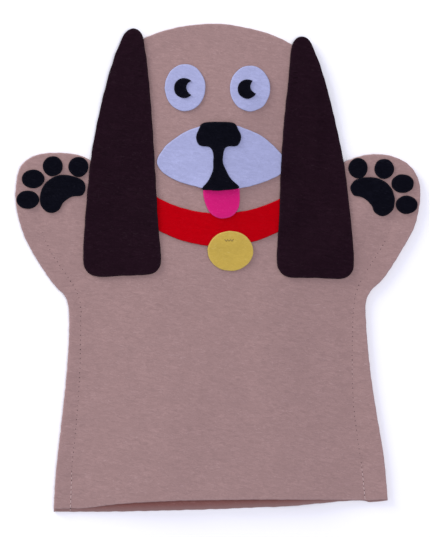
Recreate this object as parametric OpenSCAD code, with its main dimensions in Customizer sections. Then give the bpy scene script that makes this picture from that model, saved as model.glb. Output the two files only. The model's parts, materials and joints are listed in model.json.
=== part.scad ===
// Dog hand puppet in felt, lying on its back with its face up.
// Origin: middle of the footprint, on the surface that it lies on. +Y runs to the head,
// +X to the right as the face is looked at, +Z up out of the face. "left" is the -X side.
// A sheet of felt that folds is cut into the stretches on either side of its fold line.

/* [Felt] */
// Thickness of the front and the back felt, and of the ears
felt_t = 1.6; // [1.2:0.1:1.8]
// Thickness of the eyes, muzzle, collar and paw pads
trim_t = 1.2; // [0.8:0.1:1.4]
// Thickness of the pupils, nose, tongue and tag
small_t = 1.0; // [0.6:0.1:1.2]
// Thickness of a strand of sewing thread
thread_t = 0.3; // [0.2:0.1:0.4]
// Width of a strand of sewing thread
thread_w = 0.6; // [0.4:0.1:0.8]

/* [Room for the hand] */
// Height of the space between the front and the back felt
room_h = 5.4; // [4.8:0.1:6]
// Distance from the seam to the place where the front felt rises
room_inset = 1.2; // [0.9:0.1:1.6]

/* [Folds] */
// Height on the body of the fold at the waist
waist_y = -33; // [-40:1:-26]
// Half of the cut that each fold line leaves between two stretches of felt
fold_gap = 0.5; // [0.3:0.1:0.8]
// Height on the head at which the left ear starts to hang free
ear_left_y = 111; // [108:1:114]
// Height on the head at which the right ear starts to hang free
ear_right_y = 107; // [104:1:110]
// Length of the stretch of ear above the line where it folds up
ear_bend = 20; // [16:1:24]
// Height on the body of the tag's tack
tack_y = 15.8; // [14:0.1:17]
// Space under what hangs free in front of the body
hang_gap = 0.3; // [0.2:0.1:0.4]

/* [Eyes] */
// Radius of the left pupil
pupil_left_r = 6; // [5:0.1:7]
// Radius of the right pupil
pupil_right_r = 5.8; // [5:0.1:7]
// Radius of the bite out of each pupil
bite_r = 4.4; // [3:0.1:5]

/* [Hidden] */
flange_z = felt_t;
seam_z = 2 * felt_t;
roof_z = felt_t + room_h;
face_z = roof_z + felt_t;
top_z = face_z + trim_t;
hang_z = top_z + hang_gap;
ear_z = top_z + 0.4;
neck_y = 44;
far = 160;
FOLD_LEFT = [-78, 48];
FOLD_LEFT_ANGLE = 9.72;
FOLD_RIGHT = [78, 47];
FOLD_RIGHT_ANGLE = -9.94;

TAN = "#a38587";
BROWN = "#241518";
WHITE = "#a9acd8";
BLACK = "#101018";
RED = "#b00212";
PINK = "#ca2074";
YELLOW = "#c0a351";
THREAD = "#b89a92";
DARK_THREAD = "#1a1012";
GREY = "#8d7a55";

// Edge of the felt from the left corner of the hem, over the head, to the right corner
EDGE = [
    [-98.6, -156], [-98, -144], [-96.7, -122], [-93.8, -96], [-90.2, -62], [-88.7, -34],
    [-90.3, -18.6], [-97.7, -10.2], [-107.6, 4.2], [-115.5, 19], [-119.9, 34], [-120.7, 47],
    [-117.6, 60.6], [-108.3, 67.2], [-96, 68.6], [-84, 67.4], [-75, 63.4], [-67.5, 54.5],
    [-63, 46.6], [-61.2, 44.2], [-59.8, 46.8], [-60.2, 60], [-62, 80], [-62, 100],
    [-60.4, 116], [-55.6, 128], [-44.6, 136.7], [-23.8, 143.5], [0, 145.6], [19, 142.7],
    [31, 139.4], [43.3, 133.6], [52.3, 125.3], [57.5, 114], [60, 98], [60, 80], [58.5, 60],
    [58, 46.8], [59.4, 44.2], [61.2, 46.6], [66, 54.5], [73.5, 62], [84, 66.3], [95, 67.8],
    [107, 65.5], [116.5, 58.5], [120.7, 46], [118, 27], [111, 12.9], [99.4, -5.4],
    [89.1, -17], [88.4, -34], [91, -62.6], [94.8, -88], [98.8, -112], [101.2, -138],
    [101.9, -156]
];
HEM_BACK = [
    [-110, -145.6], [-70, -145.6], [-45, -145.2], [-2, -144.1], [21, -143.1], [40, -142.4],
    [52, -141.3], [63, -140.3], [71, -139.6], [80, -138.9], [88, -139.2], [92, -139.8], [110, -138]
];
HEM_FRONT = [
    [-110, -144], [-81, -143.5], [-70.5, -142.2], [-53.5, -140.3], [-27, -138.8],
    [-8, -138.4], [30, -138], [72, -138.4], [89, -138.7], [110, -137.7]
];

// Line of the seam that joins the two felts
SEAM = [
    [-88.2, -156], [-87.2, -120], [-85, -98], [-82.6, -66], [-81.9, -34], [-82.6, -19],
    [-88.4, -7], [-97.6, 6], [-104, 19], [-107.4, 32], [-107.4, 42], [-104.6, 49.4],
    [-98, 53.8], [-88, 55], [-78.5, 52.4], [-72, 45.6], [-66.5, 37.6], [-60.8, 34.4],
    [-54.6, 37.5], [-51.6, 46], [-51.8, 62], [-53.4, 82], [-53.4, 100], [-51.2, 114],
    [-45.6, 123.2], [-36, 129.4], [-20, 133.8], [0, 135.6], [18, 133.2], [32, 128.8],
    [43.6, 121.6], [49.4, 110], [51.4, 97], [51.4, 80], [50, 62], [49.6, 46], [52.6, 37.5],
    [58.8, 34.4], [66, 38.5], [72, 45.5], [78, 51], [88, 53.6], [97, 52.8], [103.2, 48.4],
    [105.8, 40], [104.4, 29], [99.6, 16], [92, 3.5], [85.4, -7.5], [81.4, -19],
    [80.2, -40], [80.2, -72], [82.3, -95], [86, -121], [89.4, -156]
];

EAR_LEFT = [
    [-50.6, 143], [-56.1, 139], [-60, 130.4], [-63.4, 121], [-67.5, 106.5], [-72, 87],
    [-75.3, 69], [-77.3, 51], [-79.2, 28], [-80.3, 6], [-78.4, -1.6], [-72, -5.2], [-56, -4.7],
    [-41, -3.9], [-35.4, -0.6], [-33.9, 6], [-35.6, 26], [-37.2, 54], [-39, 84],
    [-41.2, 112], [-43.4, 130], [-45.6, 139.6]
];
EAR_RIGHT = [
    [49.6, 138], [45.4, 135.4], [43.3, 128], [42, 112], [39.6, 90], [37.6, 62], [36.4, 30],
    [35, 6], [36.6, -1.6], [42.4, -5.6], [58, -6], [73.4, -6.5], [79.4, -3.2], [81, 4],
    [79.9, 21], [77.6, 43], [75.2, 62], [71.4, 81], [67, 99.7], [62.3, 116.7], [58, 128.4], [54.4, 135.8]
];
MUZZLE = [
    [-36.3, 62.9], [-33.4, 69.8], [-26.8, 76.3], [-18, 81.6], [-9, 84.6], [0.5, 85.6],
    [11, 84.6], [25.1, 79], [34.4, 71.4], [41.4, 62.2], [36.9, 55.6], [26, 50.6],
    [13.3, 47.3], [1, 46.4], [-9, 47.3], [-24, 51.6], [-33, 57]
];
NOSE_MOUTH = [
    [-8.7, 86.2], [0.2, 86.8], [9.2, 86.2], [12, 82.4], [13.8, 77.8], [11.6, 72.7],
    [5.6, 72], [3.4, 69], [3, 63], [4.8, 58], [8, 52.6], [12.8, 47.8], [7, 46.4], [0.2, 45.9],
    [-5, 46.1], [-9.5, 46.9], [-5.6, 52.2], [-3.2, 57.6], [-2.8, 63], [-3, 68.4],
    [-5, 71.8], [-10.8, 72.7], [-13.1, 77.6], [-11.4, 82.3]
];
TONGUE = [
    [-9, 45.2], [-8, 39.6], [-5.4, 33.6], [-1.6, 30.3], [3, 29.3], [8.4, 30.8],
    [12, 35], [13, 40.2], [12.9, 45.2]
];
PAD_LEFT = [
    [-78.8, 47.6], [-81, 52.2], [-88.6, 55.2], [-97, 54.6], [-103.4, 49.8], [-106, 43.4],
    [-105.6, 37.6], [-102.6, 33.6], [-98.4, 32.8], [-94.6, 34.6], [-92.2, 38.8],
    [-87.3, 42.2], [-81.2, 43.2]
];
PAD_RIGHT = [
    [78.9, 47.6], [81.4, 52], [89.4, 54.1], [97, 52.8], [103.2, 47.8], [105.3, 41],
    [104.2, 34.4], [98.8, 30.8], [93.4, 33], [91, 37.9], [86.2, 41.9], [81, 43.2]
];
// Each toe pad: centre and half width and height, from the body outwards
TOES_LEFT = [
    [[-83.2, 60.2], [6, 6]], [[-98.5, 60.6], [6, 6]],
    [[-110.2, 53], [6.8, 5.6]], [[-113.4, 40.6], [6.8, 5.5]]
];
TOES_RIGHT = [
    [[83.5, 59.4], [5.8, 6.1]], [[99.1, 59], [5.9, 6]],
    [[110.1, 50.2], [6.7, 5.6]], [[112.5, 37.6], [6.5, 5.5]]
];
EYE_LEFT = [[-19.6, 107.3], [12.1, 14.1]];
EYE_RIGHT = [[19.1, 106.8], [12, 13.7]];
PUPIL_LEFT = [-20.2, 107];
PUPIL_RIGHT = [17.5, 106.4];
BITE_LEFT = [5.8, 0.1];
BITE_RIGHT = [6.2, 1.6];
TAG = [[7.4, 10], [13.6, 11.9]];
TACK_X = 6.5;
TACK_W = 5;
// Lower and upper edge of the collar: centre height and radius of each arc
COLLAR_LOW = [87.8, 75];
COLLAR_HIGH = [109.4, 77];
COLLAR_X = [-47, 48];
ROOT_STITCHES = 3;
ROOT_STITCH_L = 3.4;

// One point of a smooth span from b to c, whose neighbours are a and d
function span(a, b, c, d, t) =
    0.5 * (2 * b + (c - a) * t + (2 * a - 5 * b + 4 * c - d) * t * t
        + (3 * b - a - 3 * c + d) * t * t * t);
// Smooth open curve through the points
function run(p, steps = 3) = let (n = len(p)) [
    for (i = [0 : n - 2], k = [0 : steps - 1])
        span(p[max(i - 1, 0)], p[i], p[i + 1], p[min(i + 2, n - 1)], k / steps),
    p[n - 1]
];
// Smooth closed curve through the points
function ring(p, steps = 3) = let (n = len(p)) [
    for (i = [0 : n - 1], k = [0 : steps - 1])
        span(p[(i + n - 1) % n], p[i], p[(i + 1) % n], p[(i + 2) % n], k / steps)
];
// Open curve moved to its right by d
function beside(p, d) = let (n = len(p)) [
    for (i = [0 : n - 1])
        let (v = p[min(i + 1, n - 1)] - p[max(i - 1, 0)])
            p[i] + d * [v[1], -v[0]] / norm(v)
];
function back_to_front(p) = [for (i = [len(p) - 1 : -1 : 0]) p[i]];
function oval(centre, half, n = 36) =
    [for (i = [0 : n - 1]) centre + [half[0] * cos(360 * i / n), half[1] * sin(360 * i / n)]];

// All of the plane on the far side of a hem
module above(hem) {
    polygon(concat(run(hem, 2), [[far, far], [-far, far]]));
}

// All of the plane beyond a fold line through p, on the side that it faces at angle 0
module beyond(p, angle, gap) {
    translate(p) rotate(angle) translate([gap, -far]) square([far, 2 * far]);
}

module felt_outline(hem) {
    intersection() {
        polygon(run(EDGE));
        above(hem);
    }
}

module room_outline(d = 0) {
    polygon(beside(run(SEAM, 2), room_inset + d));
}

// The stretches of the body between the fold lines
module skirt_stretch() {
    translate([-far, -2 * far]) square([2 * far, 2 * far + waist_y - fold_gap]);
}

module head_stretch(gap) {
    polygon([[-61.2, neck_y + gap], [59.4, neck_y + gap], [61, 62], [80, far], [-80, far], [-62.6, 62]]);
}

module arm_left_stretch() {
    beyond(FOLD_LEFT, 180 - FOLD_LEFT_ANGLE, fold_gap);
}

module arm_right_stretch() {
    beyond(FOLD_RIGHT, -FOLD_RIGHT_ANGLE, fold_gap);
}

module chest_stretch() {
    difference() {
        translate([-far, waist_y + fold_gap]) square([2 * far, far]);
        beyond(FOLD_LEFT, 180 - FOLD_LEFT_ANGLE, -fold_gap);
        beyond(FOLD_RIGHT, -FOLD_RIGHT_ANGLE, -fold_gap);
        head_stretch(-fold_gap);
    }
}

module stretch(name) {
    if (name == "skirt") skirt_stretch();
    if (name == "chest") chest_stretch();
    if (name == "head") head_stretch(fold_gap);
    if (name == "arm_left") arm_left_stretch();
    if (name == "arm_right") arm_right_stretch();
}

module plate(z, t) {
    translate([0, 0, z]) linear_extrude(height = t) children();
}

// Back felt: lies flat
module back_felt(name) {
    color(TAN) plate(0, felt_t) intersection() {
        felt_outline(HEM_BACK);
        stretch(name);
    }
}

// Front felt: its border lies on the back felt, and inside the seam it stands off it
module front_felt(name) {
    color(TAN) {
        plate(flange_z, felt_t) intersection() {
            difference() {
                felt_outline(HEM_FRONT);
                room_outline(felt_t);
            }
            stretch(name);
        }
        plate(seam_z, roof_z - seam_z) intersection() {
            felt_outline(HEM_FRONT);
            difference() {
                room_outline();
                room_outline(felt_t);
            }
            stretch(name);
        }
        plate(roof_z, felt_t) intersection() {
            felt_outline(HEM_FRONT);
            room_outline();
            stretch(name);
        }
    }
}

module seam_thread(name) {
    line = run(SEAM, 2);
    color(THREAD) plate(seam_z, thread_t) intersection() {
        felt_outline(HEM_FRONT);
        polygon(concat(beside(line, -thread_w / 2), back_to_front(beside(line, thread_w / 2))));
        stretch(name);
    }
}

module ear_slice(outline, low, high) {
    intersection() {
        polygon(ring(outline));
        translate([-far, low]) square([2 * far, high - low]);
    }
}

// Top of an ear, sewn down onto the head
module ear_top(outline, y) {
    color(BROWN) {
        plate(ear_z, felt_t) ear_slice(outline, y + hang_gap, far);
        plate(face_z, ear_z - face_z) intersection() {
            ear_slice(outline, y + hang_gap, far);
            room_outline();
        }
    }
}

// Stretch of an ear that swings out when the head nods
module ear_bend_strip(outline, y) {
    color(BROWN) plate(ear_z, felt_t) ear_slice(outline, y - ear_bend, y - hang_gap);
}

// Free length of an ear, which lifts
module ear_flap(outline, y) {
    color(BROWN) plate(ear_z, felt_t) ear_slice(outline, -far, y - ear_bend - hang_gap);
}

module ear_stitches(x, y) {
    for (i = [0 : ROOT_STITCHES - 1])
        color(DARK_THREAD) plate(ear_z + felt_t, thread_t)
            translate([x - ROOT_STITCH_L / 2, y + 3 + 3 * i]) square([ROOT_STITCH_L, thread_w]);
}

module oval_pad(shape, z, t, tint, n = 36) {
    color(tint) plate(z, t) polygon(oval(shape[0], shape[1], n));
}

module outline_pad(outline, z, t, tint) {
    color(tint) plate(z, t) polygon(ring(outline));
}

module pupil(centre, r, bite) {
    color(BLACK) plate(top_z, small_t) difference() {
        translate(centre) circle(r, $fn = 48);
        translate(centre + bite) circle(bite_r, $fn = 48);
    }
}

module tag_part(low, high, z, t) {
    color(YELLOW) plate(z, t) intersection() {
        polygon(oval(TAG[0], TAG[1]));
        translate([-far, low]) square([2 * far, high - low]);
    }
}

module back_skirt() { back_felt("skirt"); }
module back_chest() { back_felt("chest"); }
module back_head() { back_felt("head"); }
module back_arm_left() { back_felt("arm_left"); }
module back_arm_right() { back_felt("arm_right"); }
module front_skirt() { front_felt("skirt"); }
module front_chest() { front_felt("chest"); }
module front_head() { front_felt("head"); }
module front_arm_left() { front_felt("arm_left"); }
module front_arm_right() { front_felt("arm_right"); }
module seam_thread_skirt() { seam_thread("skirt"); }
module seam_thread_chest() { seam_thread("chest"); }
module seam_thread_head() { seam_thread("head"); }
module seam_thread_arm_left() { seam_thread("arm_left"); }
module seam_thread_arm_right() { seam_thread("arm_right"); }
module ear_left_top() { ear_top(EAR_LEFT, ear_left_y); }
module ear_left_bend() { ear_bend_strip(EAR_LEFT, ear_left_y); }
module ear_left_flap() { ear_flap(EAR_LEFT, ear_left_y); }
module ear_left_stitches() { ear_stitches(-46, ear_left_y); }
module ear_right_top() { ear_top(EAR_RIGHT, ear_right_y); }
module ear_right_bend() { ear_bend_strip(EAR_RIGHT, ear_right_y); }
module ear_right_flap() { ear_flap(EAR_RIGHT, ear_right_y); }
module ear_right_stitches() { ear_stitches(46, ear_right_y); }
module eye_white_left() { oval_pad(EYE_LEFT, face_z, trim_t, WHITE); }
module eye_white_right() { oval_pad(EYE_RIGHT, face_z, trim_t, WHITE); }
module pupil_left() { pupil(PUPIL_LEFT, pupil_left_r, BITE_LEFT); }
module pupil_right() { pupil(PUPIL_RIGHT, pupil_right_r, BITE_RIGHT); }
module muzzle() { outline_pad(MUZZLE, face_z, trim_t, WHITE); }
module nose_mouth() { outline_pad(NOSE_MOUTH, top_z, small_t, BLACK); }
module tongue() { color(PINK) plate(hang_z, small_t) polygon(run(TONGUE)); }

// Collar: a crescent band, whose ends go under the ears
module collar() {
    color(RED) plate(face_z, trim_t) intersection() {
        difference() {
            translate([1, COLLAR_LOW[0]]) circle(COLLAR_LOW[1], $fn = 96);
            translate([1, COLLAR_HIGH[0]]) circle(COLLAR_HIGH[1], $fn = 96);
        }
        translate([COLLAR_X[0], 0]) square([COLLAR_X[1] - COLLAR_X[0], neck_y - 2 * fold_gap]);
    }
}

module tag_upper() { tag_part(tack_y + hang_gap, far, top_z, small_t + hang_gap); }
module tag_lower() { tag_part(-far, tack_y - hang_gap, hang_z, small_t); }

module tag_tack() {
    color(GREY) plate(hang_z + small_t, thread_t)
        translate([TACK_X - TACK_W / 2, tack_y + 0.5]) square([TACK_W, thread_w]);
}

module toe_left(i) { oval_pad(TOES_LEFT[i], seam_z + thread_t, trim_t, BLACK, 24); }
module toe_right(i) { oval_pad(TOES_RIGHT[i], seam_z + thread_t, trim_t, BLACK, 24); }
module paw_pad_left() { outline_pad(PAD_LEFT, face_z, trim_t, BLACK); }
module toe_left_1() { toe_left(0); }
module toe_left_2() { toe_left(1); }
module toe_left_3() { toe_left(2); }
module toe_left_4() { toe_left(3); }
module paw_pad_right() { outline_pad(PAD_RIGHT, face_z, trim_t, BLACK); }
module toe_right_1() { toe_right(0); }
module toe_right_2() { toe_right(1); }
module toe_right_3() { toe_right(2); }
module toe_right_4() { toe_right(3); }

back_skirt();
back_chest();
back_head();
back_arm_left();
back_arm_right();
front_skirt();
front_chest();
front_head();
front_arm_left();
front_arm_right();
seam_thread_skirt();
seam_thread_chest();
seam_thread_head();
seam_thread_arm_left();
seam_thread_arm_right();
ear_left_top();
ear_left_bend();
ear_left_flap();
ear_left_stitches();
ear_right_top();
ear_right_bend();
ear_right_flap();
ear_right_stitches();
eye_white_left();
eye_white_right();
pupil_left();
pupil_right();
muzzle();
nose_mouth();
tongue();
collar();
tag_upper();
tag_lower();
tag_tack();
paw_pad_left();
toe_left_1();
toe_left_2();
toe_left_3();
toe_left_4();
paw_pad_right();
toe_right_1();
toe_right_2();
toe_right_3();
toe_right_4();
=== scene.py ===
"""Looks of the felt dog hand puppet, which lies on its back with its face up.

Every piece is a sheet of felt or a row of stitches. The felts are cut to the outlines of their CAD
nodes, and each is laid on the pieces under it.
Lengths are in metres, in the frame of the CAD model.
"""
import json
import math

import bpy
import numpy as np
from mathutils.geometry import delaunay_2d_cdt
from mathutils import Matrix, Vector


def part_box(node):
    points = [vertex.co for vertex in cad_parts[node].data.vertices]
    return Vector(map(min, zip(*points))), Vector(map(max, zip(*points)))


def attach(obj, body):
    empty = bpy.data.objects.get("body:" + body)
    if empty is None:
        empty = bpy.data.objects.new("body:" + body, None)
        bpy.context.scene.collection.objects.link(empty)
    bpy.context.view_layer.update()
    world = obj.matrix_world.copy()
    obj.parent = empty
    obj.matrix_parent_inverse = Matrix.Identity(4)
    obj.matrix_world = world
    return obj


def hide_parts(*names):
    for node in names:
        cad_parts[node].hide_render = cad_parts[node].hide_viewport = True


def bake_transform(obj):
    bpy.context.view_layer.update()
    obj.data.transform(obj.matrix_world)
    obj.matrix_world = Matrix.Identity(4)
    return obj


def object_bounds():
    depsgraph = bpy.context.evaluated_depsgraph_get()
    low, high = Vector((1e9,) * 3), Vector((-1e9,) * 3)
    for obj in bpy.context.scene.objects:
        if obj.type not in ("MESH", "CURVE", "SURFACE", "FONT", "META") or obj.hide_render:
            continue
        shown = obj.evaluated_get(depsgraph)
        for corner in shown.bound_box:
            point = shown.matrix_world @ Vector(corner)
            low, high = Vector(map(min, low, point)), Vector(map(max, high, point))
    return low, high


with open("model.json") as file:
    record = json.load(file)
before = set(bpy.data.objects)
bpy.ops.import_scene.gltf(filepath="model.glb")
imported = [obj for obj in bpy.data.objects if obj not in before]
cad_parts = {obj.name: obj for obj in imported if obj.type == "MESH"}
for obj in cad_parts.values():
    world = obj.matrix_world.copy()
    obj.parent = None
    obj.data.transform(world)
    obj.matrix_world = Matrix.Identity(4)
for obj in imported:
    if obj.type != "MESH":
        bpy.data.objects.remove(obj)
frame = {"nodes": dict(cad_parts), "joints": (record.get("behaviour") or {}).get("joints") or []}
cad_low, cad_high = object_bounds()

MM = 0.001
RANDOM = np.random.default_rng(7)

# Thickness of the CAD's large felts and ears, of the two large felts as they look here, of the
# trimmings, and of the small pieces that lie on other trimmings
FELT = 1.6 * MM
SHEET = 1.5 * MM
TRIM = 1.2 * MM
SMALL = 1.0 * MM
# Height of the CAD's front felt along the seam and over the room for the hand
SEAM_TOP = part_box("seam_thread_chest")[0].z
ROOF_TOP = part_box("front_chest")[1].z
# Rounding of a cut edge: how far in from the rim, and how far down through the thickness
EDGE = [(0.45 * MM, 0.0), (0.13 * MM, 0.2), (0.0, 0.5), (0.13 * MM, 0.8), (0.45 * MM, 1.0)]
# The front felt climbs from the seam to its full height over this distance
CLIMB = 60 * MM
# Distance from the seam to the raised part of the front felt
ROOM_INSET = 1.2 * MM
# Gap between a piece and what it is laid on, and the grid on which pieces are laid
CLEAR = 0.04 * MM
CELL = 1.0 * MM
# Distance between the seam's needle holes, and length of the thread that shows between them
STITCH_PITCH = 2.8 * MM
STITCH = 2.1 * MM
# Distance between a mesh's points along the rim of a large felt, along the rim of a small piece, and
# along a cut between two parts of a sheet
RIM_STEP = 1.3 * MM
SMALL_RIM_STEP = 0.9 * MM
CUT_STEP = 2.2 * MM
# Most fibres lie this much off the width of the puppet
FIBRE_ANGLE = math.radians(-9)


# ---------------------------------------------------------------- camera, light and floor

def make_camera():
    """Looks straight down at the puppet, which fills nine tenths of the picture's height."""
    length = cad_high.y - cad_low.y
    field = 1.097 * length
    height = 2.2
    off_middle = (-1.8 * MM, -0.4 * MM)
    camera = bpy.data.cameras.new("camera")
    camera.sensor_width = 36
    camera.lens = camera.sensor_width * (height - ROOF_TOP) / field
    camera.clip_end = 50
    thing = bpy.data.objects.new("camera", camera)
    thing.location = (*off_middle, height)
    bpy.context.collection.objects.link(thing)
    bpy.context.scene.camera = thing


def area_light(name, place, size, power, tint):
    """A round lamp that shines at the middle of the puppet."""
    light = bpy.data.lights.new(name, "AREA")
    light.shape = "DISK"
    light.size = size
    light.energy = power
    light.color = tint
    thing = bpy.data.objects.new(name, light)
    thing.location = place
    thing.rotation_euler = (-thing.location).to_track_quat("-Z", "Y").to_euler()
    bpy.context.collection.objects.link(thing)


def make_light():
    """Bluish light from all round, a wide lamp overhead and a large low one at the upper left."""
    bpy.context.scene.view_settings.view_transform = "Standard"
    world = bpy.data.worlds.new("studio")
    world.use_nodes = True
    sky = world.node_tree.nodes["Background"]
    sky.inputs["Color"].default_value = (0.95, 0.95, 1.15, 1)
    sky.inputs["Strength"].default_value = 0.52
    bpy.context.scene.world = world
    area_light("overhead", (0.5, 0, 2.7), size=1.5, power=37.5, tint=(1.0, 1.0, 1.06))
    area_light("key", (-1.875, 1.725, 0.9), size=1.5, power=54, tint=(1.0, 1.0, 1.0))


def make_floor():
    """A pale floor, a hair below the puppet."""
    reach = 4
    square = [(-reach, -reach, 0), (reach, -reach, 0), (reach, reach, 0), (-reach, reach, 0)]
    mesh = bpy.data.meshes.new("floor")
    mesh.from_pydata(square, [], [(0, 1, 2, 3)])
    floor = bpy.data.objects.new("floor", mesh)
    bpy.context.collection.objects.link(floor)
    floor.location.z = -0.05 * MM
    material, shader = new_material("floor")
    shader.inputs["Base Color"].default_value = (0.9, 0.9, 0.91, 1)
    shader.inputs["Roughness"].default_value = 0.9
    shader.inputs["Specular IOR Level"].default_value = 0.1
    floor.data.materials.append(material)


# ---------------------------------------------------------------- materials

def new_material(name):
    """A new material and its shader."""
    material = bpy.data.materials.new(name)
    material.use_nodes = True
    return material, material.node_tree.nodes["Principled BSDF"]


class Wiring:
    """Adds nodes to a material and joins them."""

    def __init__(self, material):
        self.nodes = material.node_tree.nodes
        self.links = material.node_tree.links

    def add(self, kind, **settings):
        node = self.nodes.new(kind)
        for name, value in settings.items():
            setattr(node, name, value)
        return node

    def join(self, source, target):
        self.links.new(source, target)

    def felt_map(self, stretch):
        """Place on the flat felt, in metres, squeezed along and across the lie of the fibres."""
        place = self.add("ShaderNodeUVMap", uv_map="felt")
        turned = self.add("ShaderNodeMapping", vector_type="TEXTURE")
        turned.inputs["Rotation"].default_value = (0, 0, FIBRE_ANGLE)
        turned.inputs["Scale"].default_value = (1 / stretch[0], 1 / stretch[1], 1)
        self.join(place.outputs["UV"], turned.inputs["Vector"])
        return turned.outputs["Vector"]

    def noise(self, stretch, size, detail, roughness=0.5, distortion=0.0):
        """Noise whose patches are about size long, stretched along the two directions."""
        noise = self.add("ShaderNodeTexNoise", noise_dimensions="2D")
        noise.inputs["Scale"].default_value = 1 / size
        noise.inputs["Detail"].default_value = detail
        noise.inputs["Roughness"].default_value = roughness
        noise.inputs["Distortion"].default_value = distortion
        self.join(self.felt_map(stretch), noise.inputs["Vector"])
        return noise.outputs["Fac"]

    def spread(self, value, low, high, to_low, to_high):
        """The value's range from low to high, spread over another range."""
        ranged = self.add("ShaderNodeMapRange")
        ends = {"From Min": low, "From Max": high, "To Min": to_low, "To Max": to_high}
        for name, number in ends.items():
            ranged.inputs[name].default_value = number
        self.join(value, ranged.inputs["Value"])
        return ranged.outputs["Result"]

    def math(self, operation, a, b):
        """Arithmetic on two values, each a socket or a number."""
        node = self.add("ShaderNodeMath", operation=operation)
        for socket, value in zip(node.inputs, (a, b)):
            if isinstance(value, (int, float)):
                socket.default_value = value
            else:
                self.join(value, socket)
        return node.outputs["Value"]

    def mix(self, share, a, b):
        """Colour a where the share is 0 and b where it is 1, each a socket or a colour."""
        node = self.add("ShaderNodeMix", data_type="RGBA")
        self.join(share, node.inputs["Factor"])
        for socket, value in zip((node.inputs["A"], node.inputs["B"]), (a, b)):
            if isinstance(value, tuple):
                socket.default_value = (*value, 1)
            else:
                self.join(value, socket)
        return node.outputs["Result"]


def shade(colour, factor, lift=0.0):
    """A darker or paler shade of a colour."""
    return tuple(c * factor + lift for c in colour)


def felt_material(name, colour, fibre, contrast=0.11, sheen=0.06, gloss=0.08):
    """Pressed felt: fibres that run mostly one way, cloudy patches, stray hairs and a paler cut edge."""
    material, shader = new_material(name)
    wires = Wiring(material)
    clouds = wires.noise((1, 1.6), 16 * MM, detail=3, roughness=0.6)
    fibres = wires.noise((1, 3), 4.2 * MM, detail=5, roughness=0.66, distortion=0.8)
    grain = wires.noise((1, 1.5), 0.9 * MM, detail=3, roughness=0.6)
    hairs = wires.noise((1, 5), 5 * MM, detail=2, roughness=0.4, distortion=2.5)
    dark, pale = shade(colour, 1 - contrast), shade(colour, 1 + contrast)
    tone = wires.mix(wires.spread(fibres, 0.3, 0.7, 0, 1), dark, pale)
    tone = wires.mix(wires.spread(clouds, 0.3, 0.7, 0, 0.5), tone, shade(colour, 1 - 0.7 * contrast))
    tone = wires.mix(wires.spread(grain, 0.35, 0.75, 0, 0.35), tone, shade(colour, 1 - 1.6 * contrast))
    tone = wires.mix(wires.spread(hairs, 0.64, 0.76, 0, 0.25), tone, fibre)
    edge = wires.add("ShaderNodeAttribute", attribute_name="cut_edge")
    tone = wires.mix(wires.math("MULTIPLY", edge.outputs["Fac"], 0.2), tone, fibre)
    wires.join(tone, shader.inputs["Base Color"])
    wires.join(wires.spread(grain, 0.3, 0.7, 0.86, 1.0), shader.inputs["Roughness"])
    relief = wires.math("ADD", wires.math("MULTIPLY", fibres, 0.7), wires.math("MULTIPLY", grain, 0.35))
    relief = wires.math("ADD", relief, wires.math("MULTIPLY", clouds, 0.5))
    height = wires.add("ShaderNodeBump")
    height.inputs["Strength"].default_value = 0.45
    height.inputs["Distance"].default_value = 0.28 * MM
    wires.join(relief, height.inputs["Height"])
    wires.join(height.outputs["Normal"], shader.inputs["Normal"])
    shader.inputs["Specular IOR Level"].default_value = gloss
    shader.inputs["Sheen Weight"].default_value = sheen
    shader.inputs["Sheen Roughness"].default_value = 0.45
    shader.inputs["Sheen Tint"].default_value = (*shade(fibre, 0.7, 0.25), 1)
    return material


def thread_material(name, colour, shine):
    """Spun thread, with its twist as fine slanting bands. Its gloss and its sheen are the same."""
    material, shader = new_material(name)
    wires = Wiring(material)
    twist = wires.add("ShaderNodeTexWave", wave_type="BANDS", bands_direction="DIAGONAL")
    twist.inputs["Scale"].default_value = 900
    twist.inputs["Distortion"].default_value = 1.5
    wires.join(wires.felt_map((1, 1)), twist.inputs["Vector"])
    tone = wires.mix(twist.outputs["Fac"], shade(colour, 0.8), shade(colour, 1.15))
    wires.join(tone, shader.inputs["Base Color"])
    height = wires.add("ShaderNodeBump")
    height.inputs["Strength"].default_value = 0.4
    height.inputs["Distance"].default_value = 0.05 * MM
    wires.join(twist.outputs["Fac"], height.inputs["Height"])
    wires.join(height.outputs["Normal"], shader.inputs["Normal"])
    shader.inputs["Roughness"].default_value = 0.7
    shader.inputs["Specular IOR Level"].default_value = shine
    shader.inputs["Sheen Weight"].default_value = shine
    return material


def lighten_painted_shade(material, less_shaded):
    """Mixes in the less shaded colour where the share of painted shade inside the felt is low."""
    shader = material.node_tree.nodes["Principled BSDF"]
    wires = Wiring(material)
    shade_share = wires.add("ShaderNodeAttribute", attribute_name="painted_shade_share")
    own = shader.inputs["Base Color"].links[0].from_socket
    wires.join(wires.mix(shade_share.outputs["Fac"], less_shaded, own), shader.inputs["Base Color"])


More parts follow.
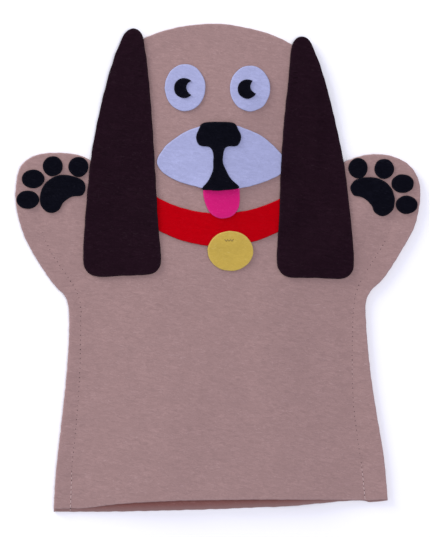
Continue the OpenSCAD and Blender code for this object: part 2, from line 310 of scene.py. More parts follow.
def make_materials():
    """All materials by name. A felt is given by its colour, its stray fibres' colour, how mottled it
    is, its sheen and its gloss, and a thread by its colour and its shine."""
    felts = {
        "tan_felt": ((0.307, 0.196, 0.182), (0.50, 0.35, 0.34), 0.145),
        # painted shade and painted red bounce light for the felt's inside, in the hollow for the hand
        "tan_felt_painted_shade_inside": ((0.242, 0.0974, 0.0843), (0.50, 0.28, 0.25)),
        "brown_felt": ((0.0126, 0.00456, 0.00842), (0.04, 0.024, 0.03), 0.28, 0.0, 0.02),
        "white_felt": ((0.331, 0.349, 0.536), (0.50, 0.52, 0.72), 0.12),
        "black_felt": ((0.00321, 0.00325, 0.0063), (0.02, 0.02, 0.03), 0.3, 0.0, 0.02),
        "red_felt": ((0.391, 0.000112, 0.00355), (0.55, 0.01, 0.02), 0.1, 0.0, 0.01),
        "pink_felt": ((0.516, 0.00989, 0.136), (0.75, 0.09, 0.32), 0.08, 0.0, 0.05),
        "yellow_felt": ((0.468, 0.327, 0.0619), (0.70, 0.56, 0.20), 0.1, 0.03),
        # dark buttons at the seam's needle holes: painted shade in the holes
        "painted_hole_shade": ((0.085, 0.05, 0.05), (0.12, 0.08, 0.08)),
    }
    threads = {
        "tan_thread": ((0.52, 0.39, 0.37), 0.1),
        "dark_thread": ((0.009, 0.004, 0.006), 0.0),
        "grey_thread": ((0.20, 0.14, 0.055), 0.1),
    }
    made = {name: felt_material(name, *looks) for name, looks in felts.items()}
    # the inside's painted shade turns paler towards the rim and the seam
    lighten_painted_shade(made["tan_felt_painted_shade_inside"], (0.27, 0.163, 0.150))
    made.update({name: thread_material(name, *looks) for name, looks in threads.items()})
    return made


# ---------------------------------------------------------------- outlines of the CAD nodes

def level_edges(node, above=0.0):
    """Edges round the upward faces of a CAD node, seen from above, with the face on their left.
    Only faces higher than above count."""
    mesh = frame["nodes"][node].data
    unit = 0.0005 * MM
    places = np.round(np.array([v.co for v in mesh.vertices]) / unit).astype(int)
    found = set()
    for face in mesh.polygons:
        if face.normal.z > 0.9 and face.center.z > above:
            ends = [tuple(int(c) for c in places[v][:2]) for v in face.vertices]
            found.update(zip(ends, ends[1:] + ends[:1]))
    return [(np.array(a) * unit, np.array(b) * unit) for a, b in sorted(found) if (b, a) not in found]


def joint(name):
    """Place and direction, seen from above, of a joint's line."""
    found = next(j for j in frame["joints"] if j["name"] == name)
    return np.array(found["pos_m"][:2]), np.array(found["axis"][:2])


def fold(name):
    """A place on a joint's line, and the direction from the line towards what the joint moves."""
    place, axis = joint(name)
    onwards = np.array([-axis[1], axis[0]])
    if name.startswith("arm"):
        onwards = onwards * np.sign(place[0] * onwards[0])
    return place, onwards


def off_line(name, points):
    """How far the points are past a joint's line."""
    place, onwards = fold(name)
    return (np.atleast_2d(points) - place) @ onwards


def along_fold(a, b, folds):
    """Whether an edge was made by the cut at one of the fold lines."""
    return any(np.abs(off_line(f, [a, b])).max() < 0.7 * MM for f in folds)


def spot(point):
    """The same whole numbers for points that all but coincide."""
    return tuple(np.round(point / (0.002 * MM)).astype(int))


def chain(edges):
    """Edges joined end to end into lines."""
    after = {spot(a): (a, b) for a, b in edges}
    ends = {spot(b) for a, b in edges}
    lines = []
    while after:
        start = next((here for here in after if here not in ends), next(iter(after)))
        line, here = [], start
        while here in after:
            a, b = after.pop(here)
            line.append(a)
            here = spot(b)
        lines.append(np.array(line + ([b] if here != start else [])))
    return lines


def outline(nodes, folds=(), above=0.0):
    """Outline of one sheet, put together from its CAD nodes and closed over the cuts at the folds."""
    edges = [e for n in nodes for e in level_edges(n, above) if not along_fold(*e, folds)]
    lines = [line for line in chain(edges) if len(line) > 2]
    loop = lines.pop(0)
    while lines:
        nearest = min(range(len(lines)), key=lambda i: np.hypot(*(lines[i][0] - loop[-1])))
        loop = np.vstack([loop, lines.pop(nearest)])
    return loop


def corners(loop, limit=math.radians(32)):
    """Places in a closed loop where it turns sharply."""
    before, after = loop - np.roll(loop, 1, 0), np.roll(loop, -1, 0) - loop
    turn = np.arctan2(before[:, 0] * after[:, 1] - before[:, 1] * after[:, 0], (before * after).sum(1))
    return [int(i) for i in np.flatnonzero(np.abs(turn) > limit)]


def resample(line, step):
    """Points a step apart along an open line, its two ends included."""
    far = np.concatenate([[0], np.cumsum(np.hypot(*np.diff(line, axis=0).T))])
    wanted = np.linspace(0, far[-1], max(1, round(far[-1] / step)) + 1)
    return np.column_stack([np.interp(wanted, far, line[:, i]) for i in (0, 1)])


def smooth_run(line, before, after, step):
    """Smooth curve through the points of a line, a step apart: a Catmull-Rom spline. before and after
    are the points next to the line's ends."""
    p = np.vstack([before, line, after])
    t = np.linspace(0, 1, 7)[:-1, None]
    fine = [
        0.5 * (2 * b + (c - a) * t + (2 * a - 5 * b + 4 * c - d) * t ** 2 + (3 * b - a - 3 * c + d) * t ** 3)
        for a, b, c, d in zip(p, p[1:], p[2:], p[3:])
    ]
    return resample(np.vstack([*fine, line[-1]]), step)


def rim_of(loop, step):
    """Smooth closed rim through a loop's points, which keeps the loop's sharp corners."""
    sharp = corners(loop)
    start = sharp or [0]
    runs = []
    for i, first in enumerate(start):
        count = (start[(i + 1) % len(start)] - first) % len(loop) or len(loop)
        line = loop[(first + np.arange(count + 1)) % len(loop)]
        before = 2 * line[0] - line[1] if sharp else loop[first - 1]
        after = 2 * line[-1] - line[-2] if sharp else loop[(first + 1) % len(loop)]
        runs.append(smooth_run(line, before, after, step)[:-1])
    return np.vstack(runs)


def tidy_loop(loop):
    """The loop without points that nearly coincide, counter-clockwise."""
    keep = np.hypot(*(loop - np.roll(loop, 1, 0)).T) > 0.3 * MM
    loop = loop[keep]
    return loop if area_inside(loop) > 0 else loop[::-1]


def rim(nodes, step, folds=()):
    """Rim of one sheet, a little uneven from the scissors."""
    loop = rim_of(tidy_loop(outline(nodes, folds)), step)
    uneven = Waves(5, 5 * MM, 16 * MM, dimensions=1)(np.arange(len(loop)) * step)
    return loop + outward(loop) * 0.08 * MM * uneven[:, None]


# ---------------------------------------------------------------- plane geometry

def in_blocks(task, points, size=4000):
    """Runs a task on the points block by block, because it needs a lot of room for each."""
    return [task(points[i:i + size]) for i in range(0, len(points), size)]


def inside(points, loop):
    """Which points lie inside a closed loop."""
    a, b = loop, np.roll(loop, -1, 0)
    rise = np.where(b[:, 1] == a[:, 1], 1, b[:, 1] - a[:, 1])

    def block(p):
        x, y = p[:, :1], p[:, 1:]
        crossed = (a[:, 1] > y) != (b[:, 1] > y)
        return (crossed & (x < a[:, 0] + (y - a[:, 1]) * (b[:, 0] - a[:, 0]) / rise)).sum(1) % 2 == 1

    return np.concatenate(in_blocks(block, points))


def nearest_on(points, line):
    """Each point's distance to an open line, and how far along the line its nearest place is."""
    a, v = line[:-1], np.diff(line, axis=0)
    length = np.hypot(*v.T)
    start = np.concatenate([[0], np.cumsum(length)[:-1]])

    def block(p):
        rel = p[:, None] - a
        t = np.clip((rel * v).sum(2) / length ** 2, 0, 1)
        gap = np.hypot(*np.moveaxis(rel - t[..., None] * v, 2, 0))
        best = gap.argmin(1)
        row = np.arange(len(p))
        return np.column_stack([gap[row, best], start[best] + t[row, best] * length[best]])

    return np.vstack(in_blocks(block, points, 1500)).T


def area_inside(loop):
    """Area inside a closed loop, negative where the loop runs clockwise."""
    x, y = loop.T
    return (x * np.roll(y, -1) - y * np.roll(x, -1)).sum() / 2


def outward(loop):
    """Outward direction at each point of a counter-clockwise loop."""
    v = np.roll(loop, -1, 0) - np.roll(loop, 1, 0)
    return np.column_stack([v[:, 1], -v[:, 0]]) / np.hypot(*v.T)[:, None]


def ease(t):
    """Rises softly from 0 to 1."""
    t = np.clip(t, 0, 1)
    return t * t * (3 - 2 * t)


class Waves:
    """Soft unevenness: a sum of waves with random directions, lengths and phases."""

    def __init__(self, count, shortest, longest, dimensions=2):
        angle = RANDOM.uniform(0, 2 * np.pi, count)
        length = RANDOM.uniform(shortest, longest, count)
        direction = np.column_stack([np.cos(angle), np.sin(angle)])
        if dimensions == 1:
            direction = np.ones((count, 1))
        self.k = 2 * np.pi * direction / length[:, None]
        self.phase = RANDOM.uniform(0, 2 * np.pi, count)

    def __call__(self, points):
        points = np.asarray(points).reshape(len(points), -1)
        return np.sin(points @ self.k.T + self.phase).sum(1) / math.sqrt(len(self.phase))


# ---------------------------------------------------------------- shape of the two large felts

# The folds that cross the large felts, and the CAD's names for the stretches of felt between them
FOLDS = ("waist_bow", "head_nod", "arm_left_fold", "arm_right_fold")
STRETCHES = ("skirt", "chest", "head", "arm_left", "arm_right")


def seam_line():
    """Line of the seam from the left end of the hem, over the head, to the right end.
    It runs a little outside the raised part of the front felt."""
    nodes = [f"front_{s}" for s in STRETCHES]
    room = tidy_loop(outline(nodes, FOLDS, ROOF_TOP - 0.1 * MM))
    right, left = (int((room @ [side, -2]).argmax()) for side in (1, -1))
    line = np.roll(room, -right, 0)[:(left - right) % len(room) + 1]
    line = smooth_run(line, line[0], line[-1], 2 * MM)[::-1]
    v = np.gradient(line, axis=0)
    return line + np.column_stack([-v[:, 1], v[:, 0]]) / np.hypot(*v.T)[:, None] * ROOM_INSET


SEAM = seam_line()
# The seam, closed well below the hem
SEAM_LOOP = np.vstack([SEAM, SEAM[-1] - [0, 60 * MM], SEAM[0] - [0, 60 * MM]])
# Unevenness of the felt: puckers along the seam, broad swells and small ripples
PUCKER = Waves(7, 5 * MM, 17 * MM, dimensions=1)
SWELL = Waves(7, 34 * MM, 95 * MM)
RIPPLE = Waves(6, 13 * MM, 30 * MM)


def front_height(xy):
    """Upper side of the front felt: pressed down along the seam, and raised over the room for the
    hand. Towards the head the seam shows less, and its border is level with the felt round it."""
    off, along = nearest_on(xy, SEAM)
    within = inside(xy, SEAM_LOOP)
    climb = np.where(within, ease((off / CLIMB) ** 0.8), 0)
    swell_room = 0.45 * MM
    height = SEAM_TOP + (ROOF_TOP - swell_room - SEAM_TOP) * climb
    height += 0.32 * MM * climb * SWELL(xy)
    height += 0.07 * MM * RIPPLE(xy)
    headwards = ease((xy[:, 1] - 60 * MM) / (50 * MM))
    beside_seam = np.exp(-(off / (5 * MM)) ** 2) * np.minimum(off / (1.5 * MM), 1)
    pucker = 0.26 * MM * PUCKER(along) * beside_seam
    groove = 0.18 * MM * np.exp(-(off / (1.2 * MM)) ** 2)
    height += (pucker - groove) * (1 - 0.8 * headwards)
    border = np.where(within, 0, ease(off / (8 * MM)))
    height += 0.15 * MM * border * (1 - headwards)
    return height + 0.3 * MM * headwards * np.where(within, 1 - climb, 1 - border)


def back_height(xy):
    """Upper side of the back felt, which lies flat apart from a stretch of its hem that curls up."""
    hemwards = ease((-122 * MM - xy[:, 1]) / (18 * MM))
    curl = np.exp(-((xy[:, 0] - 52 * MM) / (19 * MM)) ** 2) * hemwards
    return SHEET + 0.07 * MM + 0.02 * MM * RIPPLE(xy) + 2.2 * MM * curl


def back_underside(xy):
    """Where the stitches run on the back felt's lower side, clear of the floor."""
    return np.maximum(back_height(xy) - SHEET + 0.1 * MM, 0.21 * MM)


# ---------------------------------------------------------------- relief of what has been laid so far

class Relief:
    """Height of the puppet's upper side, cell by cell, as the pieces are laid on each other."""

    def __init__(self):
        margin = 12 * MM
        self.low = np.array(cad_low[:2]) - margin
        size = (np.array(cad_high[:2]) - self.low + margin) / CELL
        self.height = np.zeros(size.astype(int))

    def window(self, loop, margin):
        """Cells round a loop, and their centres."""
        first = np.floor((loop.min(0) - margin - self.low) / CELL).astype(int)
        last = np.ceil((loop.max(0) + margin - self.low) / CELL).astype(int)
        first, last = np.maximum(first, 0), np.minimum(last, self.height.shape)
        x, y = (np.arange(f, l) for f, l in zip(first, last))
        centres = np.stack(np.meshgrid(x, y, indexing="ij"), 2) * CELL + self.low
        return np.s_[first[0]:last[0], first[1]:last[1]], centres

    def put(self, loop, height):
        """Marks a sheet whose upper side is given by a formula."""
        cells, centres = self.window(loop, 0)
        points = centres.reshape(-1, 2)
        covered = inside(points, loop)
        patch = self.height[cells].reshape(-1)
        patch[covered] = height(points[covered])
        self.height[cells] = patch.reshape(centres.shape[:2])

    def lay(self, loop, thickness, stiffness, rounds, sag=0.0, gap=CLEAR):
        """Lays a sheet, which rests on what is there and bridges hollows. A stiffer one bridges wider
        hollows, and sag is how far it gives way in each round. Returns its upper side's height."""
        cells, centres = self.window(loop, 4 * MM)
        shape = centres.shape[:2]
        grown = loop + outward(loop) * CELL
        covered = inside(centres.reshape(-1, 2), grown).reshape(shape).astype(float)
        under = self.height[cells] + gap
        z = under * covered
        weight = blur(covered, stiffness)
        for _ in range(rounds):
            soft = blur(z, stiffness) / np.maximum(weight, 1e-6)
            z = np.maximum(soft - sag, under) * covered
        soft = blur(z, 1) / np.maximum(blur(covered, 1), 1e-6)
        z = np.where(covered > 0, np.maximum(z, soft), soft)
        lying = inside(centres.reshape(-1, 2), loop).reshape(shape)
        self.height[cells] = np.where(lying, z + thickness, self.height[cells])
        start = centres[0, 0]
        return lambda xy: sample(z, (xy - start) / CELL) + thickness


def blur(grid, radius):
    """The grid, averaged over the cells within a radius."""
    kernel = np.hanning(2 * radius + 3)[1:-1]
    kernel /= kernel.sum()
    for axis in (0, 1):
        grid = np.apply_along_axis(np.convolve, axis, grid, kernel, "same")
    return grid


def sample(grid, place):
    """Grid values between its cells."""
    place = np.clip(place, 0, np.array(grid.shape) - 1.001)
    i, j = place.astype(int).T
    u, v = (place % 1).T
    return (grid[i, j] * (1 - u) * (1 - v) + grid[i + 1, j] * u * (1 - v)
            + grid[i, j + 1] * (1 - u) * v + grid[i + 1, j + 1] * u * v)


# ---------------------------------------------------------------- meshes

def inner_points(loop, step, lines, crease):
    """A staggered grid inside a loop, clear of its edge and of the lines, and a ring near the edge.
    Points also follow the crease, if there is one."""
    ring_inset = 0.65 * MM
    apart = 0.45 * step
    low, high = loop.min(0), loop.max(0)
    rows = np.arange(low[1], high[1], step * 0.87)
    starts = low[0] + (np.arange(len(rows)) % 2) * step / 2
    grid = np.array([(x, y) for start, y in zip(starts, rows) for x in np.arange(start, high[0], step)])
    ring = (loop - outward(loop) * ring_inset)[::2]
    closed = np.vstack([loop, loop[:1]])
    keep = inside(grid, loop)
    grid = grid[keep]
    grid = grid[nearest_on(grid, closed)[0] > ring_inset + 0.5 * step]
    ring = ring[inside(ring, loop)]
    ring = ring[nearest_on(ring, closed)[0] > 0.45 * MM]
    points = np.vstack([grid, ring])
    if crease is not None:
        crease = crease[inside(crease, loop)]
        crease = crease[nearest_on(crease, closed)[0] > 1 * MM]
        points = np.vstack([points[nearest_on(points, crease)[0] > apart], crease])
    for line in lines:
        points = points[nearest_on(points, line)[0] > apart]
    return points


def triangulate(loop, step, lines, crease):
    """Triangles that fill a loop. Returns the points, the triangles, and the numbers of the loop's
    points among all points."""
    parts, edges, count = [loop], [], len(loop)
    for first, last, line in lines:
        numbers = [first, *range(count, count + len(line)), last]
        edges += zip(numbers, numbers[1:])
        parts.append(line)
        count += len(line)
    whole = [np.vstack([loop[first], line, loop[last]]) for first, last, line in lines]
    parts.append(inner_points(loop, step, whole, crease))
    given = np.vstack(parts)
    # the triangulation drops very short distances, so it works in millimetres
    scaled = [tuple(p) for p in given / MM]
    points, _, faces, sources, _, _ = delaunay_2d_cdt(scaled, edges, [list(range(len(loop)))], 1, 1e-5)
    number = {s: i for i, found in enumerate(sources) for s in found}
    points = np.array([tuple(p) for p in points]) * MM
    triangles = np.array([f if turns_left(points[list(f)]) else f[::-1] for f in faces])
    return points, triangles, [number[i] for i in range(len(loop))]


def turns_left(p):
    """Whether a triangle's points run counter-clockwise."""
    (ax, ay), (bx, by) = p[1] - p[0], p[2] - p[0]
    return ax * by - ay * bx > 0


def normals_of(verts, faces):
    """Smooth normal at each vertex."""
    total = np.zeros_like(verts)
    for size in (3, 4):
        f = np.array([x for x in faces if len(x) == size])
        if len(f):
            a, b, c = verts[f[:, 0]], verts[f[:, 1]], verts[f[:, -1]]
            n = np.cross(b - a, c - a)
            for i in range(size):
                np.add.at(total, f[:, i], n)
    return total / np.maximum(np.linalg.norm(total, axis=1), 1e-20)[:, None]


def sheet_vertices(loop, points, ring, height, thickness):
    """Vertices of a sheet: the upper side, the lower side, and the levels of the rounded edge. Also
    marks that are 1 on the cut edge and 0 on the flat sides."""
    towards = outward(loop)
    levels = [
        np.column_stack([loop - towards * inset, height[ring] - depth * thickness])
        for inset, depth in EDGE[1:-1]
    ]
    upper = np.column_stack([points, height])
    lower = np.column_stack([points, height - thickness])
    verts = np.vstack([upper, lower, *levels])
    marks = np.zeros(len(verts))
    marks[2 * len(points):] = 1
    marks[ring] = marks[np.array(ring) + len(points)] = 0.5
    return verts, marks


def part_numbers(points, triangles, loop, lines):
    """Number of the part that each triangle is in."""
    part_of = np.zeros(len(triangles), int)
    middles = points[triangles].mean(1)
    for i, (first, last, line) in enumerate(lines):
        stretch = (first + np.arange((last - first) % len(loop) + 1)) % len(loop)
        part_of[inside(middles, np.vstack([loop[stretch], line[::-1]]))] = i + 1
    return part_of


def sheet_faces(triangles, part_of, ring, count):
    """Faces of each part, closed along the cuts, and those of the whole sheet without its cuts."""
    place = {v: i for i, v in enumerate(ring)}

    def column(v):
        """The vertices down the edge at one point of the loop."""
        levels = range(len(EDGE) - 2)
        return [v, *(2 * count + level * len(ring) + place[v] for level in levels), v + count]

    parts = [[] for _ in range(part_of.max() + 1)]
    whole = []
    owner = {}
    for t, part in zip(triangles.tolist(), part_of.tolist()):
        pair = [tuple(t), tuple(v + count for v in t[::-1])]
        parts[part] += pair
        whole += pair
        owner.update({side: part for side in zip(t, t[1:] + t[:1])})
    for (a, b), part in owner.items():
        other = owner.get((b, a))
        if other is None:
            left, right = column(a), column(b)
            band = [(left[i], left[i + 1], right[i + 1], right[i]) for i in range(len(left) - 1)]
            parts[part] += band
            whole += band
        elif other != part:
            parts[part].append((a, a + count, b + count, b))
            if a in place:
                parts[part].append(tuple([a + count, *column(a)[:-1]]))
            if b in place:
                parts[part].append(tuple([b, b + count, *column(b)[-2:0:-1]]))
    return parts, whole


def sheet_parts(loop, step, height, thickness, lines, crease):
    """A closed sheet with rounded edges, parted along the lines.
    Each line is (first, last, points): it runs between two of the loop's points, and parts off the
    stretch of the loop between them. Returns the vertices, their normals and edge marks, and the
    faces of each part."""
    top_loop = loop - outward(loop) * EDGE[0][0]
    points, triangles, ring = triangulate(top_loop, step, lines, crease)
    verts, marks = sheet_vertices(loop, points, ring, height(points), thickness)
    part_of = part_numbers(points, triangles, top_loop, lines)
    parts, whole = sheet_faces(triangles, part_of, ring, len(points))
    return verts, normals_of(verts, whole), marks, parts


def add_object(name, verts, faces, materials, normals=None, marks=None, spots=None):
    """A mesh object with its places on the flat felt as UVs, moved by 1 m so that they are positive.
    spots gives the material number of each face."""
    mesh = bpy.data.meshes.new(name)
    mesh.from_pydata(verts.tolist(), [], faces)
    layer = mesh.uv_layers.new(name="felt")
    corner = np.empty(len(mesh.loops), int)
    mesh.loops.foreach_get("vertex_index", corner)
    layer.data.foreach_set("uv", (verts[corner, :2] + 1).astype(np.float32).ravel())
    edge = mesh.attributes.new("cut_edge", "FLOAT", "POINT")
    edge.data.foreach_set("value", (np.zeros(len(verts)) if marks is None else marks).astype(np.float32))
    for material in materials:
        mesh.materials.append(material)
    if spots is not None:
        mesh.polygons.foreach_set("material_index", spots)
    mesh.polygons.foreach_set("use_smooth", [True] * len(mesh.polygons))
    if normals is not None:
        mesh.normals_split_custom_set_from_vertices(normals.tolist())
    thing = bpy.data.objects.new(name, mesh)
    bpy.context.collection.objects.link(thing)
    return thing


def pick(verts, faces, *others):
    """The vertices that the faces use, with the faces and the other values renumbered to match."""
    used = sorted({v for f in faces for v in f})
    number = {v: i for i, v in enumerate(used)}
    return verts[used], [tuple(number[v] for v in f) for f in faces], *(o[used] for o in others)


def make_sheets(names, loop, step, height, thickness, slot, lines=(), crease=None):
    """Felt pieces of one sheet, one object for each part, in the slot's material."""
    verts, normals, marks, parts = sheet_parts(loop, step, height, thickness, lines, crease)
    made = []
    for name, faces in zip(names, parts):
        v, f, n, m = pick(verts, faces, normals, marks)
        thing = add_object(name, v, f, [MATERIALS[slot]], n, m)
        made.append(thing)
    return made


# ---------------------------------------------------------------- thread

def repeated(faces, times, size):
    """The faces of one shape of size vertices, for as many copies of it."""
    return [tuple(v + k * size for v in f) for k in range(times) for f in faces]


def thread_mesh(ends, radius, arch):
    """Short strands between pairs of points: round, thin at both ends and arched up in the middle."""
    rings, sides = 6, 6
    upwards = np.array([0, 0, 1.0])
    t = (np.arange(rings) + 0.5) / rings
    a, b = ends[:, 0], ends[:, 1]
    run = b - a
    side = np.cross(upwards, run)
    side /= np.maximum(np.linalg.norm(side, axis=1), 1e-12)[:, None]
    middle = a[:, None] + run[:, None] * t[:, None]
    middle[..., 2] += arch * np.sin(np.pi * t)
    turn = 2 * np.pi * np.arange(sides) / sides
    thick = radius * (0.45 + 0.55 * np.sin(np.pi * t))
    ring = np.cos(turn)[:, None] * side[:, None, None] + np.sin(turn)[:, None] * upwards
    verts = middle[:, :, None] + thick[:, None, None] * ring
    verts = np.concatenate([verts.reshape(len(ends), -1, 3), a[:, None], b[:, None]], 1)
    around = [(j, (j + 1) % sides) for j in range(sides)]
    faces = [
        (row + j, row + k, row + sides + k, row + sides + j)
        for row in range(0, (rings - 1) * sides, sides) for j, k in around
    ]
    first, last = rings * sides, rings * sides + 1
    faces += [(first, (j + 1) % sides, j) for j in range(sides)]
    faces += [(last, first - sides + j, first - sides + (j + 1) % sides) for j in range(sides)]
    size = len(verts[0])
    return verts.reshape(-1, 3), repeated(faces, len(ends), size)


def hole_mesh(places, radius, depth):
    """Small flat buttons at the needle holes; dark ones are painted shade in the holes."""
    sides = 7
    turn = 2 * np.pi * np.arange(sides) / sides
    ring = np.column_stack([radius * np.cos(turn), radius * np.sin(turn), np.zeros(sides)])
    shape = np.vstack([ring, [[0, 0, depth], [0, 0, -depth]]])
    verts = (places[:, None] + shape).reshape(-1, 3)
    faces = [(j, (j + 1) % sides, sides) for j in range(sides)]
    faces += [((j + 1) % sides, j, sides + 1) for j in range(sides)]
    return verts, repeated(faces, len(places), len(shape))


def add_stitches(name, places, ends, slot, radius, arch, hole="painted_hole_shade"):
    """Strands with a needle hole at each of the places, as one piece. Each hole is a flat button in the
    hole's material, which at the seam is painted shade.
    """
    verts, faces = thread_mesh(ends, radius, arch)
    holes, more = hole_mesh(places, radius=0.36 * MM, depth=0.06 * MM)
    spots = [0] * len(faces) + [1] * len(more)
    faces = faces + [tuple(v + len(verts) for v in f) for f in more]
    materials = [MATERIALS[slot], MATERIALS[hole]]
    thing = add_object(name, np.vstack([verts, holes]), faces, materials, spots=spots)
    return thing


def thread_depth(xy, uneven):
    """How deep the thread has sunk into the felt: it lies on top only near the hem."""
    from_hem = xy[:, 1] + 142 * MM
    return np.maximum(0.46 * MM * ease(from_hem / (36 * MM)) + 0.1 * MM * uneven(xy), 0)


def hole_depth(xy):
    """How deep the needle holes lie: they show along the body, and are lost in the felt of the head."""
    return 0.2 * MM * ease((xy[:, 1] - 10 * MM) / (50 * MM))


def thread_tail():
    """The end of the seam's thread, which hangs over the hem's left end onto the back felt."""
    top, low = SEAM[:1] + [0, 1.2 * MM], SEAM[:1] - [0.3 * MM, 1.6 * MM]
    return np.stack([
        np.column_stack([top, front_height(top) + 0.1 * MM]),
        np.column_stack([low, back_height(low) + 0.15 * MM])
    ], 1)


def seam_stitches(side, height, arch):
    """The seam's running stitches on the front or the back, one piece for each part of the felt."""
    line = resample(SEAM, STITCH_PITCH)
    line = line + np.column_stack([RANDOM.normal(0, 0.09 * MM, len(line)) for _ in (0, 1)])
    a, b = line[:-1], line[1:]
    middle, run = (a + b) / 2, (b - a)
    run *= (STITCH / np.hypot(*run.T) / 2)[:, None]
    part = region_of(middle)
    out = 1 if side == "front" else -1
    sunk = Waves(5, 20 * MM, 60 * MM)

    def on_felt(xy):
        return np.column_stack([xy, height(xy) - out * thread_depth(xy, sunk)])

    made = {}
    for i, name in enumerate(PARTS):
        mine = part == i
        ends = np.stack([on_felt((middle - run)[mine]), on_felt((middle + run)[mine])], 1)
        if name == "body" and side == "front":
            ends = np.concatenate([ends, thread_tail()])
        holes = np.column_stack([a[mine], height(a[mine]) - out * hole_depth(a[mine])])
        title = f"{side}_stitches_{name}"
        made[name] = add_stitches(title, holes, ends, "tan_thread", 0.2 * MM, arch)
    return made


# ---------------------------------------------------------------- the large felts

# Each large felt is made in these parts
PARTS = ("body", "arm_left", "arm_right", "head")
# The bends of the line that parts the head from the body, on its way from notch to notch
NECK_LINE = [(-52 * MM, 38 * MM), (50 * MM, 38 * MM)]


def stretches_of(part):
    """The CAD's names for the stretches of felt in one of the PARTS."""
    return ("skirt", "chest") if part == "body" else (part,)


def region_of(points):
    """Number in PARTS of the part of the felt that each point is on."""
    part = np.zeros(len(points), int)
    part[off_line("arm_left_fold", points) > 0] = 1
    part[off_line("arm_right_fold", points) > 0] = 2
    notch_left, notch_right = NOTCHES
    above = [notch_right + [20 * MM, 120 * MM], notch_left + [-20 * MM, 120 * MM]]
    part[inside(points, np.array([notch_left, *NECK_LINE, notch_right, *above]))] = 3
    return part


def notches(loop):
    """The points where the head's outline meets the two arms'."""
    neck = joint("head_nod")[0][1]
    near = [i for i in corners(loop, limit=0.6) if abs(loop[i][1] - neck) < 6 * MM]
    return min(near, key=lambda i: loop[i][0]), max(near, key=lambda i: loop[i][0])


def stretch_ends(wanted):
    """Numbers of the first and the last wanted point of a loop, where the wanted ones are in a row."""
    first = int(np.flatnonzero(wanted & ~np.roll(wanted, 1))[0])
    last = int(np.flatnonzero(wanted & ~np.roll(wanted, -1))[0])
    return first, last


def fold_line(loop, name):
    """A line along an arm's fold from one side of the loop to the other."""
    first, last = stretch_ends(off_line(name, loop) > 0)
    return first, last, resample(np.array([loop[first], loop[last]]), CUT_STEP)[1:-1]


def neck_line(loop):
    """The line that parts the head off, from notch to notch."""
    left, right = notches(loop)
    way = np.array([loop[right], *NECK_LINE[::-1], loop[left]])
    line = np.vstack([resample(way[i:i + 2], CUT_STEP)[:-1] for i in range(3)])[1:]
    return right, left, line


def bend(thing):
    """Bakes the piece's placement into its mesh."""
    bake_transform(thing)


def bend_part(thing, part):
    """Bakes one part of the body's felt, or a piece that lies on it, into its mesh, the same way for every
    part.
    """
    if part == "body":
        bend(thing)
    elif part == "head":
        bend(thing)
    else:
        bend(thing)


def make_large_felt(side, height):
    """The front or the back felt: one sheet, in four parts that meet where neither of them bends.
    Returns its rim."""
    loop = rim([f"{side}_{s}" for s in STRETCHES], RIM_STEP, FOLDS)
    lines = [fold_line(loop, "arm_left_fold"), fold_line(loop, "arm_right_fold"), neck_line(loop)]
    names = [f"{side}_felt_{p}" for p in PARTS]
    crease = resample(SEAM, 1.4 * MM)[1:-1]
    made = make_sheets(names, loop, 2.3 * MM, height, SHEET, "tan_felt", lines, crease)
    for thing, part in zip(made, PARTS):
        # painted shade on the side of the felt that faces the hand
        paint_shade_inside(thing, 1 if side == "back" else -1, loop)
        bend_part(thing, part)
        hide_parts(*[f"{side}_{n}" for n in stretches_of(part)])
    return loop


def paint_shade_inside(thing, up, loop):
    """Within the seam, the side of the felt that faces the hand is painted darker and redder: painted shade
    and painted red bounce light in the hollow for the hand.
    The painted shade lessens towards the rim and the seam. up is 1 for the felt's upper side and -1 for its
    lower."""
    mesh = thing.data
    mesh.materials.append(MATERIALS["tan_felt_painted_shade_inside"])
    place = np.array([v.co[:2] for v in mesh.vertices])
    to_rim = nearest_on(place, np.vstack([loop, loop[:1]]))[0]
    to_seam = np.where(inside(place, SEAM_LOOP), nearest_on(place, SEAM)[0], 0)
    # share of painted shade: none at the rim and the seam, full deep inside
    shade_share = ease(to_rim / (4.5 * MM)) * ease(to_seam / (9 * MM))
    attribute = mesh.attributes.new("painted_shade_share", "FLOAT", "POINT")
    attribute.data.foreach_set("value", shade_share.astype(np.float32))
    for face in mesh.polygons:
        if face.normal.z * up > 0.7:
            face.material_index = 1


def make_body():
    """The two large felts and the seam that joins them."""
    back = make_large_felt("back", back_height)
    front = make_large_felt("front", front_height)
    RELIEF.put(back, back_height)
    RELIEF.put(front, front_height)
    for part, thing in seam_stitches("front", front_height, arch=0.14 * MM).items():
        bend_part(thing, part)
        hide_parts(*[f"seam_thread_{n}" for n in stretches_of(part)])
    for part, thing in seam_stitches("back", back_underside, arch=0).items():
        bend_part(thing, part)


# ---------------------------------------------------------------- trimmings

def trim(name, slot, thickness, step=1.6 * MM, stiffness=2, rounds=8):
    """A piece cut to its CAD node and glued down on what is under it."""
    loop = rim([name], SMALL_RIM_STEP)
    height = RELIEF.lay(loop, thickness, stiffness, rounds)
    thing, = make_sheets([name + "_felt"], loop, step, height, thickness, slot)
    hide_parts(name)
    return thing


def make_tongue():
    """The tongue, whose root goes up under the muzzle."""
    loop = tidy_loop(outline(["tongue"]))
    root = joint("tongue_lift")[0][1]
    hidden_root = 6 * MM
    top = loop[:, 1] > root - 0.3 * MM
    loop[top, 1] += hidden_root
    loop = rim_of(loop, SMALL_RIM_STEP)
    height = RELIEF.lay(loop, SMALL, stiffness=3, rounds=20)
    thing, = make_sheets(["tongue_felt"], loop, 1.5 * MM, height, SMALL, "pink_felt")
    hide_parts("tongue")
    bend(thing)


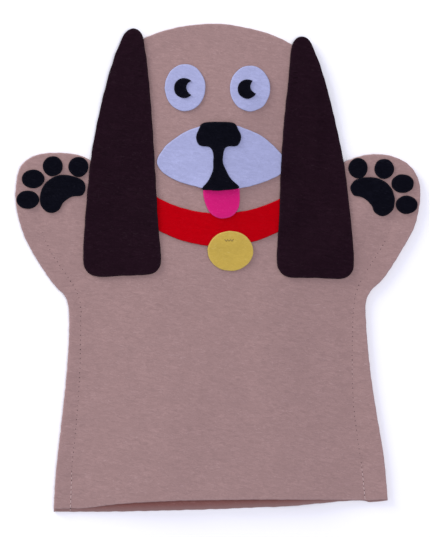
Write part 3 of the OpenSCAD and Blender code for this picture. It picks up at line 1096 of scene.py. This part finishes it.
def make_face():
    """Tongue, muzzle, nose, mouth and eyes."""
    make_tongue()
    bend_part(trim("muzzle", "white_felt", TRIM, stiffness=3, rounds=14), "head")
    bend_part(trim("nose_mouth", "black_felt", SMALL), "head")
    for side in ("left", "right"):
        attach(trim(f"eye_white_{side}", "white_felt", TRIM), "head")
        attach(trim(f"pupil_{side}", "black_felt", SMALL), "head")


def make_paws():
    """Four toe pads and a main pad on each arm."""
    for side in ("left", "right"):
        names = [f"toe_{side}_{i}" for i in range(1, 5)] + [f"paw_pad_{side}"]
        for name in names:
            bend_part(trim(name, "black_felt", TRIM), f"arm_{side}")


def make_collar_and_tag():
    """The collar, and the tag with its tack."""
    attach(trim("collar", "red_felt", TRIM, stiffness=3, rounds=14), "chest")
    make_tag_tack(make_tag())


def make_tag():
    """The tag. Returns the height of its upper side."""
    loop = rim(["tag_upper", "tag_lower"], SMALL_RIM_STEP, ["tag_lift"])
    height = RELIEF.lay(loop, SMALL, stiffness=4, rounds=30)
    tag, = make_sheets(["tag_felt"], loop, 1.4 * MM, height, SMALL, "yellow_felt")
    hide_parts("tag_upper", "tag_lower")
    bend_tag(tag)
    return height


def bend_tag(thing):
    bend(thing)


def make_tag_tack(height):
    """A small zigzag of thread that holds the tag."""
    low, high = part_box("tag_tack")
    turns = 7
    across = np.linspace(low.x, high.x, turns)
    zigzag = np.column_stack([across, np.where(np.arange(turns) % 2, low.y - 0.5 * MM, high.y)])
    points = np.column_stack([zigzag, height(zigzag) + 0.02 * MM])
    ends = np.stack([points[:-1], points[1:]], 1)
    strands = points, ends, "grey_thread", 0.16 * MM, 0.05 * MM, "yellow_felt"
    tack = add_stitches("tag_tack_thread", *strands)
    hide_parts("tag_tack")
    bend_tag(tack)


def make_ear(side):
    """An ear: one sheet in two parts, parted midway between its joint below the sewn end and its joint where
    it folds up.
    """
    names = [f"ear_{side}_{n}" for n in ("top", "bend", "flap")]
    hang, lift = f"ear_{side}_hang", f"ear_{side}_lift"
    loop = rim(names, 1.2 * MM, [hang, lift])
    height = RELIEF.lay(loop, FELT, stiffness=5, rounds=90, sag=0.06 * MM, gap=0.25 * MM)
    across = (joint(hang)[0][1] + joint(lift)[0][1]) / 2
    last, first = stretch_ends(loop[:, 1] > across)
    line = resample(np.array([loop[first], loop[last]]), 2 * MM)[1:-1]
    parts = [f"ear_{side}_upper", f"ear_{side}_lower"]
    upper, lower = make_sheets(parts, loop, 2 * MM, height, FELT, "brown_felt", [(first, last, line)])
    bend(upper)
    bend(lower)
    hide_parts(names[0], names[1])
    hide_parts(names[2])
    make_ear_stitches(side, height)


def make_ear_stitches(side, height):
    """A strand of thread along each of the CAD's ear stitches."""
    rows = chain(level_edges(f"ear_{side}_stitches"))
    xy = np.array([[(r[:, 0].min(), r[:, 1].mean()), (r[:, 0].max(), r[:, 1].mean())] for r in rows])
    sunk = 0.05 * MM
    ends = np.stack([np.column_stack([end, height(end) - sunk]) for end in (xy[:, 0], xy[:, 1])], 1)
    # the needle holes are black buttons on the brown ear: painted shade in the holes
    strands = ends.reshape(-1, 3), ends, "dark_thread", 0.2 * MM, 0.08 * MM, "black_felt"
    thing = add_stitches(f"ear_{side}_thread", *strands)
    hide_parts(f"ear_{side}_stitches")
    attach(thing, "head")


# ---------------------------------------------------------------- the scene

make_camera()
make_light()
make_floor()
MATERIALS = make_materials()
RELIEF = Relief()
front_rim = rim([f"front_{s}" for s in STRETCHES], RIM_STEP, FOLDS)
# The places, left and right, where the head's outline meets the arms'
NOTCHES = [front_rim[i] for i in notches(front_rim)]
make_body()
make_collar_and_tag()
make_face()
make_paws()
make_ear("left")
make_ear("right")
